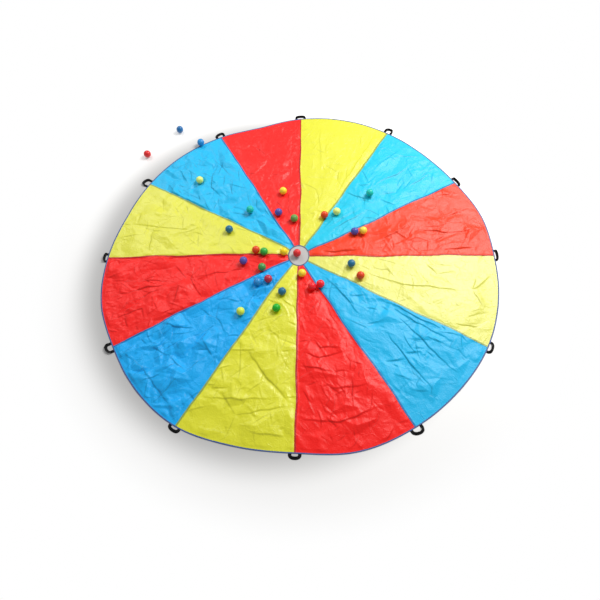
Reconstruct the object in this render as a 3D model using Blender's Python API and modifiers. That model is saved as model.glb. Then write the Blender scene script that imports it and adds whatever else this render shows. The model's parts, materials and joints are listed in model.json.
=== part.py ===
# Play parachute: twelve sewn gores round a bound vent, a bound rim, a webbing
# handle at every seam, and the light play balls that lie on it.
# The canopy is cut flat and round, then laid on the floor with its slack.
# Metres, +Z up. The origin is on the floor under the middle of the laid outline.

import math

import bmesh
import bpy
from mathutils import Vector
from mathutils.bvhtree import BVHTree

# Canopy, as it is cut
CANOPY_DIAMETER = 3.5
VENT_DIAMETER = 0.18
GORE_COUNT = 12
CLOTH_THICKNESS = 0.001
FIT_GAP = 0.0003

# Lapped seam: each gore's last edge climbs over the next gore's first edge
SEAM_LAP = 0.012
SEAM_CLIMB = 0.004
SEAM_SIDE_GAP = 0.0015

# Binding tape, folded round the edge of the rim and of the vent
BINDING_WIDTH = 0.01
BINDING_LEAF = 0.0008
RIM_EDGE_INSET = 0.005
VENT_EDGE_INSET = 0.001

# Webbing handles, one at each seam
WEBBING_WIDTH = 0.025
WEBBING_THICKNESS = 0.0014
HANDLE_GAP = 0.0005
HANDLE_TAB = 0.004
HANDLE_SPREAD = 0.036
HANDLE_REACH = 0.055

# Play balls
BALL_DIAMETER = 0.07
BALL_GAP = 0.001

# How high the laid cloth stands over its seams
PUFF_HEIGHT = 0.005
FOLD_HEIGHT = 0.004

# Detail of the meshes
GORE_INNER_COLUMNS = 5
GORE_EDGE_COLUMNS = 5
GORE_FOLDS = 11
RIM_STATIONS = 144
VENT_STATIONS = 36
HANDLE_STEPS = 16
BALL_SEGMENTS = 12
BALL_RINGS = 10
BALL_PROBE_RINGS = 6
BALL_PROBE_SPOKES = 12
BALL_NUDGES = 40

# Sizes that follow from the ones above
RIM_RADIUS = CANOPY_DIAMETER / 2
VENT_RADIUS = VENT_DIAMETER / 2
BALL_RADIUS = BALL_DIAMETER / 2
GORE_ANGLE = 2 * math.pi / GORE_COUNT
SEAM_RISE = CLOTH_THICKNESS + FIT_GAP
SLOT_HEIGHT = CLOTH_THICKNESS + SEAM_RISE + 2 * FIT_GAP
BINDING_HEIGHT = SLOT_HEIGHT + 2 * BINDING_LEAF
CLOTH_BASE = BINDING_LEAF + FIT_GAP

# How the canopy lies, clockwise from the seam at +Y: how far out each seam's
# end and each gore's middle reach, as shares of the radius, and how far each
# seam's end is turned clockwise, as a share of a gore's angle
SEAM_REACH_SHARES = (0.975, 1.0, 0.98, 0.98, 0.99, 0.985, 0.96, 0.995, 0.975, 0.955, 0.94, 0.94)
MIDDLE_REACH_SHARES = (1.0, 0.985, 0.99, 0.985, 0.985, 0.985, 0.97, 0.99, 0.975, 0.935, 0.945, 0.93)
SEAM_TURN_SHARES = (0.02, 0.04, 0.027, 0, 0, 0.01, 0.03, 0.037, -0.017, -0.03, -0.007, 0.035)
RIM_ZONE_SHARE = 0.96
CENTRE_TWIST_SHARE = 0.1
CENTRE_TWIST_POWER = 2.5
VENT_STRETCH_SHARES = (-0.08, 0.13)
VENT_STRETCH_ZONE_SHARE = 2

# Where the middle of the vent lies from the origin, as shares of the radius
VENT_MIDDLE_SHARES = (-0.0129, -0.0021)

# How full each gore lies, as shares of the puff and fold heights
GORE_FULLNESS_SHARES = (0.6, 0.9, 1.0, 0.7, 0.9, 1.0, 0.9, 1.0, 0.9, 0.7, 0.8, 0.6)

# Each handle as it lies, clockwise from the seam at +Y: its half spread, its
# reach and its slant along the rim, as shares of the spread and reach above,
# and how far it tilts, as a share of a right angle, below 0 with its inner edge up
HANDLE_SHARES = (
    (1.2, 0.35, -0.25, 0.6), (0.9, 0.85, 0.3, 0.45), (1.3, 0.26, 0.1, 0.6), (1.3, 0.26, -0.1, 0.6),
    (1.2, 0.5, 0.15, -0.35), (1.15, 0.75, -0.3, -0.35), (1.0, 0.5, 0.0, -0.3), (1.05, 0.45, -0.2, -0.3),
    (1.0, 0.8, 0.15, 0.4), (1.0, 0.35, 0.1, 0.6), (1.0, 0.95, -0.35, 0.4), (1.05, 0.6, 0.3, 0.35),
)
HANDLE_TILT_SHARE = 0.5
HANDLE_CORNER_POWER = 0.6

# Where each ball lies from the middle of the vent, as shares of the radius
BALL_PLACE_SHARES = {
    "yellow_1": (-0.084, 0.399), "yellow_2": (0.198, 0.261), "yellow_3": (0.329, 0.138),
    "yellow_4": (-0.075, 0.010), "yellow_5": (-0.270, -0.324), "yellow_6": (0.016, -0.116),
    "yellow_7": (-0.539, 0.476),
    "green_1": (-0.255, 0.272), "green_2": (-0.024, 0.217), "green_3": (0.379, 0.383),
    "green_4": (-0.173, 0.010), "green_5": (-0.180, -0.081), "green_6": (-0.104, -0.306),
    "red_1": (0.133, 0.239), "red_2": (-0.214, 0.020), "red_3": (-0.009, 0.002),
    "red_4": (-0.147, -0.150), "red_5": (0.104, -0.176), "red_6": (0.063, -0.192),
    "red_7": (0.299, -0.129), "red_8": (-0.855, 0.672),
    "blue_1": (-0.106, 0.257), "blue_2": (0.285, 0.134), "blue_3": (-0.356, 0.146),
    "blue_4": (-0.272, -0.045), "blue_5": (-0.079, -0.219), "blue_6": (0.258, -0.061),
    "blue_7": (-0.562, 0.760), "blue_8": (-0.695, 0.866), "blue_9": (-0.197, -0.167),
}

# Colours, as linear red, green and blue
COLOURS = {
    "yellow": (0.78, 0.78, 0.05),
    "blue": (0.02, 0.33, 0.82),
    "red": (0.90, 0.03, 0.025),
    "green": (0.02, 0.30, 0.09),
    "tape_blue": (0.03, 0.16, 0.42),
    "webbing_black": (0.012, 0.012, 0.014),
}
GORE_COLOUR_ORDER = ("yellow", "blue", "red")
BALL_COLOURS = ("yellow", "green", "red", "blue")
CLOTH_ROUGHNESS = 0.45
WEBBING_ROUGHNESS = 0.75
BALL_ROUGHNESS = 0.3


def clear_scene():
    for old in list(bpy.data.objects):
        bpy.data.objects.remove(old)


def make_collection(name):
    collection = bpy.data.collections.new(name)
    bpy.context.scene.collection.children.link(collection)
    return collection


def make_material(name, colour, roughness):
    material = bpy.data.materials.new(name)
    material.use_nodes = True
    shader = material.node_tree.nodes["Principled BSDF"]
    shader.inputs["Base Color"].default_value = (*COLOURS[colour], 1.0)
    shader.inputs["Roughness"].default_value = roughness
    shader.inputs["Metallic"].default_value = 0.0
    return material


def make_object(name, bm, material, collection):
    mesh = bpy.data.meshes.new(name)
    bm.to_mesh(mesh)
    bm.free()
    mesh.materials.append(material)
    piece = bpy.data.objects.new(name, mesh)
    collection.objects.link(piece)
    return piece


def ease(share):
    """Smooth step from 0 to 1 with flat ends."""
    share = min(max(share, 0.0), 1.0)
    return share ** 3 * (10 - 15 * share + 6 * share * share)


def between(values, position):
    """A smooth closed curve through a table's values, read at a fractional position."""
    first = math.floor(position)
    step = position - first
    before, start, end, after = (values[(first + place) % len(values)] for place in (-1, 0, 1, 2))
    bend = 2 * before - 5 * start + 4 * end - after
    twist = 3 * (start - end) + after - before
    return start + step * (end - before + step * (bend + step * twist)) / 2


def rim_reach(clockwise):
    """Share of the radius that the laid rim reaches at an angle from the +Y seam."""
    shares = []
    for seam, middle in zip(SEAM_REACH_SHARES, MIDDLE_REACH_SHARES):
        shares += [seam, middle]
    return between(shares, 2 * clockwise / GORE_ANGLE)


def lay(radius, clockwise):
    """Where a point of the flat cut comes to lie, as x and y on the floor."""
    outward = radius / RIM_RADIUS
    pull = ease(outward / RIM_ZONE_SHARE)
    laid_radius = radius - (1 - rim_reach(clockwise)) * RIM_RADIUS * pull
    turn = between(SEAM_TURN_SHARES, clockwise / GORE_ANGLE) * pull
    twist = CENTRE_TWIST_SHARE * max(1 - outward, 0) ** CENTRE_TWIST_POWER
    angle = clockwise + (turn + twist) * GORE_ANGLE
    near = math.exp(-(radius / (VENT_STRETCH_ZONE_SHARE * VENT_RADIUS)) ** 2)
    x = laid_radius * math.sin(angle) * (1 + VENT_STRETCH_SHARES[0] * near)
    y = laid_radius * math.cos(angle) * (1 + VENT_STRETCH_SHARES[1] * near)
    return x + VENT_MIDDLE_SHARES[0] * RIM_RADIUS, y + VENT_MIDDLE_SHARES[1] * RIM_RADIUS


def lay_mesh(bm):
    """Moves every vertex of a flat cut mesh to where the canopy lies."""
    for vert in bm.verts:
        radius = math.hypot(vert.co.x, vert.co.y)
        clockwise = math.atan2(vert.co.x, vert.co.y)
        vert.co.x, vert.co.y = lay(radius, clockwise)


def gore_rows():
    """Radii of a gore's rows, from its edge in the vent binding to the rim's."""
    vent_edge = VENT_RADIUS + BINDING_LEAF + VENT_EDGE_INSET
    vent_open = VENT_RADIUS + BINDING_WIDTH + VENT_EDGE_INSET
    rim_open = RIM_RADIUS - BINDING_WIDTH - RIM_EDGE_INSET
    rim_edge = RIM_RADIUS - BINDING_LEAF - RIM_EDGE_INSET
    pitch = (rim_open - vent_open) / GORE_FOLDS
    return [vent_edge] + [vent_open + pitch * row for row in range(GORE_FOLDS + 1)] + [rim_edge]


def gore_columns(radius):
    """Angles of a gore's columns from its first seam, and how high each is lifted."""
    half_lap = SEAM_LAP / 2 / radius
    clear = half_lap + SEAM_SIDE_GAP / radius
    climb = clear + SEAM_CLIMB / radius
    columns = [(-half_lap, 0.0), (clear, 0.0)]
    for column in range(1, GORE_INNER_COLUMNS + 1):
        share = column / (GORE_INNER_COLUMNS + 1)
        columns.append((clear + (GORE_ANGLE - climb - clear) * share, 0.0))
    columns.append((GORE_ANGLE - climb, 0.0))
    columns += [(GORE_ANGLE - clear, SEAM_RISE), (GORE_ANGLE + half_lap, SEAM_RISE)]
    return columns


def relief(across, row, fullness):
    """Height of the cloth over its seams: a soft puff, and cross folds from the bag."""
    if across <= 0 or across >= 1 or row < 2 or row > GORE_FOLDS:
        return 0.0
    outward = (row - 1) / GORE_FOLDS
    middle = math.sin(math.pi * across) ** 2
    puff = PUFF_HEIGHT * math.sqrt(math.sin(math.pi * outward))
    fold = FOLD_HEIGHT * (row % 2)
    return fullness * middle * (puff + fold)


def make_gore(number, material, collection):
    """One wedge of cloth, cut with its seam allowances and laid with its folds."""
    rows = gore_rows()
    column_count = GORE_INNER_COLUMNS + GORE_EDGE_COLUMNS
    first_seam = number * GORE_ANGLE
    fullness = GORE_FULLNESS_SHARES[number % len(GORE_FULLNESS_SHARES)]
    bm = bmesh.new()
    bmesh.ops.create_grid(bm, x_segments=column_count - 1, y_segments=len(rows) - 1, size=0.5)
    for vert in bm.verts:
        column = round((vert.co.x + 0.5) * (column_count - 1))
        row = round((vert.co.y + 0.5) * (len(rows) - 1))
        angle, lift = gore_columns(rows[row])[column]
        across = (column - 1) / (GORE_INNER_COLUMNS + 1)
        vert.co.x, vert.co.y = lay(rows[row], first_seam + angle)
        vert.co.z = CLOTH_BASE + lift + relief(across, row, fullness)
    colour = GORE_COLOUR_ORDER[number % len(GORE_COLOUR_ORDER)]
    gore = make_object(f"gore_{number + 1:02d}_{colour}", bm, material, collection)
    solid = gore.modifiers.new("cloth_thickness", "SOLIDIFY")
    solid.thickness = CLOTH_THICKNESS
    solid.offset = 1.0
    return gore


def make_binding(name, edge_radius, inward, stations, material, collection):
    """A tape folded in a U round an edge: inward is 1 on the rim and -1 on the vent."""
    leaf_end = edge_radius - inward * BINDING_WIDTH
    slot_end = edge_radius - inward * BINDING_LEAF
    outline = (
        (edge_radius, 0.0), (edge_radius, BINDING_HEIGHT),
        (leaf_end, BINDING_HEIGHT), (leaf_end, BINDING_HEIGHT - BINDING_LEAF),
        (slot_end, BINDING_HEIGHT - BINDING_LEAF), (slot_end, BINDING_LEAF),
        (leaf_end, BINDING_LEAF), (leaf_end, 0.0),
    )
    bm = bmesh.new()
    corners = [bm.verts.new((0.0, radius, height)) for radius, height in outline]
    edges = [bm.edges.new((corner, corners[index - 1])) for index, corner in enumerate(corners)]
    bmesh.ops.spin(
        bm, geom=corners + edges, cent=(0, 0, 0), axis=(0, 0, 1),
        angle=2 * math.pi, steps=stations, use_merge=True,
    )
    lay_mesh(bm)
    bmesh.ops.recalc_face_normals(bm, faces=bm.faces)
    return make_object(name, bm, material, collection)


def handle_path(spread, reach, slant, share):
    """A point of the loop's centre line past its flat tabs, along the rim and out from it."""
    swing = math.pi * share
    along = -spread * math.cos(swing) + slant * math.sin(swing) ** 2
    outward = HANDLE_TAB + reach * max(math.sin(swing), 0.0) ** HANDLE_CORNER_POWER
    return Vector((along, outward))


def rim_seat(number, spread):
    """The point and turn of the line on which a handle's two ends meet the laid rim."""
    seam = number * GORE_ANGLE
    seam_end = Vector(lay(RIM_RADIUS, seam))
    sewn = []
    edges = []
    for side in (-1, 1):
        run = Vector(lay(RIM_RADIUS, seam + side * 2 * math.pi / RIM_STATIONS)) - seam_end
        run.normalize()
        sewn.append(seam_end + run * spread)
        edges.append(seam_end + run * (spread - WEBBING_WIDTH / 2))
        edges.append(seam_end + run * (spread + WEBBING_WIDTH / 2))
    along = (sewn[1] - sewn[0]).normalized()
    outward = Vector((-along.y, along.x))
    front = max(edge.dot(outward) for edge in edges)
    middle = (sewn[0] + sewn[1]) / 2
    hinge = middle + outward * (front + FIT_GAP - middle.dot(outward))
    return hinge, math.atan2(along.y, along.x)


def make_handle(number, material, collection):
    """A webbing loop: a flat tab at each sewn end, then twisting to tilt on its edge."""
    spread_share, reach_share, slant_share, tilt_share = HANDLE_SHARES[number % len(HANDLE_SHARES)]
    shape = (spread_share * HANDLE_SPREAD, reach_share * HANDLE_REACH, slant_share * HANDLE_SPREAD)
    hinge_height = FIT_GAP + WEBBING_THICKNESS
    last = HANDLE_STEPS + 2
    step = 0.5 / HANDLE_STEPS
    bm = bmesh.new()
    bmesh.ops.create_grid(bm, x_segments=last, y_segments=1, size=0.5)
    for vert in bm.verts:
        station = round((vert.co.x + 0.5) * last)
        share = min(max((station - 1) / HANDLE_STEPS, 0.0), 1.0)
        side = 2 * vert.co.y
        centre = handle_path(*shape, share)
        if station in (0, last):
            centre.y = HANDLE_GAP
        heading = handle_path(*shape, min(share + step, 1.0)) - handle_path(*shape, max(share - step, 0.0))
        risen = math.sin(math.pi * share)
        if risen < step:
            heading.x = 0
        heading.normalize()
        tilt = ease(risen / HANDLE_TILT_SHARE) * tilt_share * math.pi / 2
        level = math.cos(tilt) * WEBBING_WIDTH / 2
        rise = math.sin(tilt) * WEBBING_WIDTH / 2
        lowest = abs(rise) + math.cos(tilt) * WEBBING_THICKNESS / 2 + FIT_GAP
        vert.co.x = centre.x - side * heading.y * level
        vert.co.y = centre.y + side * heading.x * level
        vert.co.z = lowest + side * rise - hinge_height
    handle = make_object(f"handle_{number + 1:02d}", bm, material, collection)
    solid = handle.modifiers.new("webbing_thickness", "SOLIDIFY")
    solid.thickness = WEBBING_THICKNESS
    solid.offset = 0.0
    seat, turn = rim_seat(number, shape[0])
    handle.location = (seat.x, seat.y, hinge_height)
    handle.rotation_euler.z = turn
    return handle


def spread_balls(places):
    """Nudges balls that would touch until they lie a gap apart."""
    least = BALL_DIAMETER + BALL_GAP
    for _ in range(BALL_NUDGES):
        for index, first in enumerate(places):
            for second in places[index + 1:]:
                between_balls = second - first
                short = least - between_balls.length
                if short > 0:
                    first -= between_balls.normalized() * short / 2
                    second += between_balls.normalized() * short / 2


def resting_height(place, trees):
    """Height of a ball's centre when it is let down on what lies under it."""
    height = BALL_RADIUS
    high = Vector((0, 0, CANOPY_DIAMETER))
    for ring in range(BALL_PROBE_RINGS):
        offset = BALL_RADIUS * ring / BALL_PROBE_RINGS
        bulge = math.sqrt(BALL_RADIUS ** 2 - offset ** 2)
        for spoke in range(BALL_PROBE_SPOKES):
            turn = 2 * math.pi * spoke / BALL_PROBE_SPOKES
            start = high + Vector((place.x + offset * math.cos(turn), place.y + offset * math.sin(turn), 0))
            for tree in trees:
                hit = tree.ray_cast(start, Vector((0, 0, -1)))[0]
                if hit:
                    height = max(height, hit.z + bulge + FIT_GAP)
    return height


def make_balls(cloth, materials, collection):
    """The loose balls, each let down on the cloth or on the floor."""
    bpy.context.view_layer.update()
    graph = bpy.context.evaluated_depsgraph_get()
    trees = [BVHTree.FromObject(piece, graph) for piece in cloth]
    middle = Vector(VENT_MIDDLE_SHARES)
    places = [(middle + Vector(shares)) * RIM_RADIUS for shares in BALL_PLACE_SHARES.values()]
    spread_balls(places)
    for name, place in zip(BALL_PLACE_SHARES, places):
        bm = bmesh.new()
        bmesh.ops.create_uvsphere(bm, u_segments=BALL_SEGMENTS, v_segments=BALL_RINGS, radius=BALL_RADIUS)
        ball = make_object(f"ball_{name}", bm, materials[name.split("_")[0]], collection)
        ball.data.shade_smooth()
        ball.location = (place.x, place.y, resting_height(place, trees))


def main():
    clear_scene()
    collection = make_collection("play_parachute")
    cloths = {}
    for colour in GORE_COLOUR_ORDER:
        cloths[colour] = make_material(f"cloth_{colour}", colour, CLOTH_ROUGHNESS)
    plastics = {}
    for colour in BALL_COLOURS:
        plastics[colour] = make_material(f"ball_{colour}", colour, BALL_ROUGHNESS)
    tape = make_material("binding_tape", "tape_blue", CLOTH_ROUGHNESS)
    webbing = make_material("webbing", "webbing_black", WEBBING_ROUGHNESS)
    cloth = []
    for number in range(GORE_COUNT):
        colour = GORE_COLOUR_ORDER[number % len(GORE_COLOUR_ORDER)]
        cloth.append(make_gore(number, cloths[colour], collection))
    cloth.append(make_binding("rim_binding", RIM_RADIUS, 1, RIM_STATIONS, tape, collection))
    cloth.append(make_binding("vent_binding", VENT_RADIUS, -1, VENT_STATIONS, tape, collection))
    for number in range(GORE_COUNT):
        make_handle(number, webbing, collection)
    make_balls(cloth, plastics, collection)


main()
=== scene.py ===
# Looks of the play parachute: crumpled taffeta gores with lapped and stitched
# seams, folded binding tape, webbing handles and glossy play balls, laid on a
# pale floor. Metres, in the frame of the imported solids.

import json
import math

import bpy
import numpy as np
from mathutils import Matrix, Vector


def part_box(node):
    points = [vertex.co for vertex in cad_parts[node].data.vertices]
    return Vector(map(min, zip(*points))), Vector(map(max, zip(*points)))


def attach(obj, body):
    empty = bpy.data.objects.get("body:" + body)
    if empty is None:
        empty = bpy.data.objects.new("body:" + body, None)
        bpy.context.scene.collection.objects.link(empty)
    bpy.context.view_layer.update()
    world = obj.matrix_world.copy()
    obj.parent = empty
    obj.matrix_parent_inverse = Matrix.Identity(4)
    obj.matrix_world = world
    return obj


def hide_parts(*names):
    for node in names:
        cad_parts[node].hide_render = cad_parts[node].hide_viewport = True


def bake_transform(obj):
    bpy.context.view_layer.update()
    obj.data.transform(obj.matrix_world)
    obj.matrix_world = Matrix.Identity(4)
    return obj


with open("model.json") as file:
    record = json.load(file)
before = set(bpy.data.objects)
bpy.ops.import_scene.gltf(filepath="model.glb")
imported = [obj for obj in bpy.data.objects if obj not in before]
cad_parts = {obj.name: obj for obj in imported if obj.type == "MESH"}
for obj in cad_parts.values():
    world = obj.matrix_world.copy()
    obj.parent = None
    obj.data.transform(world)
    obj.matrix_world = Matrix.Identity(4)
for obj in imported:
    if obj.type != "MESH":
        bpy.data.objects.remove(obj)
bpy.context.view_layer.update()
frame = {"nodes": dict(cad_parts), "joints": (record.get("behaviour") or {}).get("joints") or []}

# Canopy, as it is cut and laid in the solids
CANOPY_DIAMETER = 3.5
VENT_DIAMETER = 0.18
GORE_COUNT = 12
RIM_RADIUS = CANOPY_DIAMETER / 2
VENT_RADIUS = VENT_DIAMETER / 2
GORE_ANGLE = 2 * math.pi / GORE_COUNT
SEAM_REACH_SHARES = (0.975, 1.0, 0.98, 0.98, 0.99, 0.985, 0.96, 0.995, 0.975, 0.955, 0.94, 0.94)
MIDDLE_REACH_SHARES = (1.0, 0.985, 0.99, 0.985, 0.985, 0.985, 0.97, 0.99, 0.975, 0.935, 0.945, 0.93)
SEAM_TURN_SHARES = (0.02, 0.04, 0.027, 0, 0, 0.01, 0.03, 0.037, -0.017, -0.03, -0.007, 0.035)
RIM_ZONE_SHARE = 0.96
CENTRE_TWIST_SHARE = 0.1
CENTRE_TWIST_POWER = 2.5
VENT_STRETCH_SHARES = (-0.08, 0.13)
VENT_STRETCH_ZONE_SHARE = 2
VENT_MIDDLE_SHARES = (-0.0129, -0.0021)
SEAM_WAVER = 0.011
SEAM_WAVER_SIZE = 0.3
SEAM_WAVER_EDGE_SHARE = 0.2

# Cloth and seams
CLOTH_BASE = 0.0011
SEAM_LAP = 0.012
SEAM_RISE = 0.0013
LAP_CLIMB_START = 0.0055
LAP_CLIMB_END = 0.0015
LAP_CLIMB_SHARE = 0.6
LAP_BUMP_REACH = 0.014
SEAM_QUIET_WIDTH = 0.025
SEAM_FLAT_WIDTH = 0.16
SEAM_LIFT = 0.004
RIM_QUIET_WIDTH = 0.035
RIM_FLAT_WIDTH = 0.26
VENT_QUIET_WIDTH = 0.035
VENT_FLAT_WIDTH = 0.08
RIM_EDGE_INSET = 0.003
VENT_EDGE_INSET = 0.003
ROW_STEP = 0.0065
WIDEST_COLUMNS = 144
NARROWEST_COLUMNS = 14
DOUBLING_SHARE = 0.55

# Heights and sizes of the cloth's relief
LIE_HEIGHT = 0.004
PUFF_HEIGHT = 0.009
PUFF_SIZE = 0.42
PUFF_SHARES = (0.55, 0.9)
BROAD_PUFF_SHARE = 0.4
BROAD_PUFF_SIZE = 0.6
CRUMPLE_HEIGHT = 0.0095
CRUMPLE_SIZE = 0.15
CRUMPLE_STRETCH_SHARE = 0.75
WRINKLE_HEIGHT = 0.0036
WRINKLE_SIZE = 0.075
CRINKLE_HEIGHT = 0.0014
CRINKLE_SIZE = 0.032
BUSY_SIZE = 0.3
PULL_HEIGHT = 0.004
PULL_SIZE = 0.09
PULL_STRETCH_SHARE = 0.22
PULL_DEPTH_SHARE = 0.4
PULL_PLACE_SIZE = 0.4
PULL_BEND = 0.05
PULL_BEND_SIZE = 0.5
FACET_WARP_SHARE = 0.45
FACET_WARP_SIZE_SHARE = 1.4
PATCH_TILT = 0.17
PATCH_REACH = 0.1
PATCH_SIDE_REACH = 0.055
PUCKER_HEIGHT = 0.0045
PUCKER_SIZE = 0.055
PUCKER_REACH = 0.06
PUCKER_PATCH_SIZE = 0.35
PUCKER_SLANT_SHARE = 0.5
PUCKER_STRETCH_SHARE = 0.3
PUCKER_SEAM_STEP = 3.3
PUCKER_PATCH_STEP = 5.1
RIM_PUCKER_HEIGHT = 0.006
RIM_PUCKER_SIZE = 0.05
RIM_PUCKER_REACH = 0.06
RIM_PUCKER_PATCH_SIZE = 0.3
FOLD_RISE = 0.0068
FOLD_KNEE = 0.7
FOLD_FADE_POWER = 0.6
STEEP_WIDTH = 0.0085
GENTLE_WIDTHS = (0.035, 0.085)
# Width of the shade painted along a fold's steep side
CREASE_SHADE_WIDTH = 0.0058
SWAY_REACH = 0.009
SWAY_SIZE = 0.1
RIM_WAVE_HEIGHT = 0.003
RIM_WAVE_REACH = 0.14
RIM_WAVE_SIZE = 0.2
FLOOR_SOFTNESS = 0.0012
FLOOR_REBOUND = 0.7

# How strong a relief is from place to place: its middle, spread, least and most
BUSY_SHARES = (0.75, 0.8, 0.25, 1.4)
PULL_PLACE_SHARES = (0.3, 1.1, 0, 1)
PUCKER_SHARES = (0.6, 0.9, 0.1, 1.3)
RIM_PUCKER_SHARES = (0.4, 1, 0, 1.2)
RIM_WAVE_SHARES = (0.35, 1, 0, 1)

# Short folds: places and turns are shares of the gore, headings are in radians
LITTLE_FOLD_PLACE_SHARES = (0.02, 0.97)
LITTLE_FOLD_TURN_SHARE = 0.47
LITTLE_FOLD_HEADINGS = (0.0, 0.9, 1.6, 2.2)
LITTLE_FOLD_HEADING_SPREAD = 0.3
LITTLE_FOLD_LENGTHS = (0.05, 0.26)
LITTLE_FOLD_RISES = (0.001, 0.0046)
LITTLE_FOLD_BEND_SHARE = 0.07
LITTLE_FOLD_REACH_SHARE = 2.5
# Strength of the shade painted along a short fold: its least, and how much more a big fold has
LITTLE_FOLD_SHADE_SHARES = (0.3, 0.5)
LITTLE_STEEP_WIDTH = 0.006
LITTLE_GENTLE_WIDTH = 0.023

# Facets: how far each one's sides are turned at random, in radians
PATCH_TURN = 0.4
PATCH_SIDE_TURNS = (1.8, 2.4)

# Seeds of the random fields and draws: the canopy's own, and the steps within one gore
NOISE_CELLS = 97
NOISE_GAIN = 1.6
RIDGE_GAIN = 1.8
SEEDS = {
    "broad_puff": 5, "rim_wave": 7, "balls": 9, "pucker": 11, "pucker_patch": 12, "rim_pucker": 13,
    "rim_pucker_patch": 14, "seam_waver": 21, "little_folds": 600, "placed_folds": 700, "patches": 800,
}
GORE_SEED = 100
GORE_SEEDS = {
    "puff": 0, "crumple": 10, "busy": 20, "wrinkle": 30, "crinkle": 40, "pull_place": 50,
    "pull_bend": 60, "pull": 70, "sway_x": 80, "sway_y": 90,
}

# Most folds drop steeply towards this side, and lie gently on the other
STEEP_WAY = (-0.73, -0.68)

# How many short folds each gore has beside those that are listed
LITTLE_FOLD_COUNTS = (44, 95, 100, 60, 120, 140, 120, 140, 140, 80, 100, 90)

# How each gore lies, as shares of the heights above: puff, crumple, wrinkle,
# crinkle, lengthwise pulls, short folds
GORE_STYLE_SHARES = (
    (0.6, 0.3, 0.3, 0.5, 0.5, 0.8),
    (0.9, 0.6, 0.7, 0.7, 0.6, 1.0),
    (0.9, 0.6, 0.7, 0.7, 0.5, 1.0),
    (0.8, 0.35, 0.4, 0.5, 0.3, 0.7),
    (0.9, 0.7, 0.8, 0.9, 0.9, 1.2),
    (1.1, 0.8, 0.9, 0.9, 0.8, 1.2),
    (0.9, 0.8, 1.0, 0.9, 0.6, 1.1),
    (1.7, 2.9, 1.8, 1.4, 0.6, 1.8),
    (1.3, 1.7, 1.5, 1.4, 0.7, 1.6),
    (0.8, 0.8, 0.7, 0.8, 0.3, 1.0),
    (1.5, 2.3, 2.0, 1.4, 0.9, 1.2),
    (1.0, 1.2, 1.2, 1.2, 0.9, 1.2),
)

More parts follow.
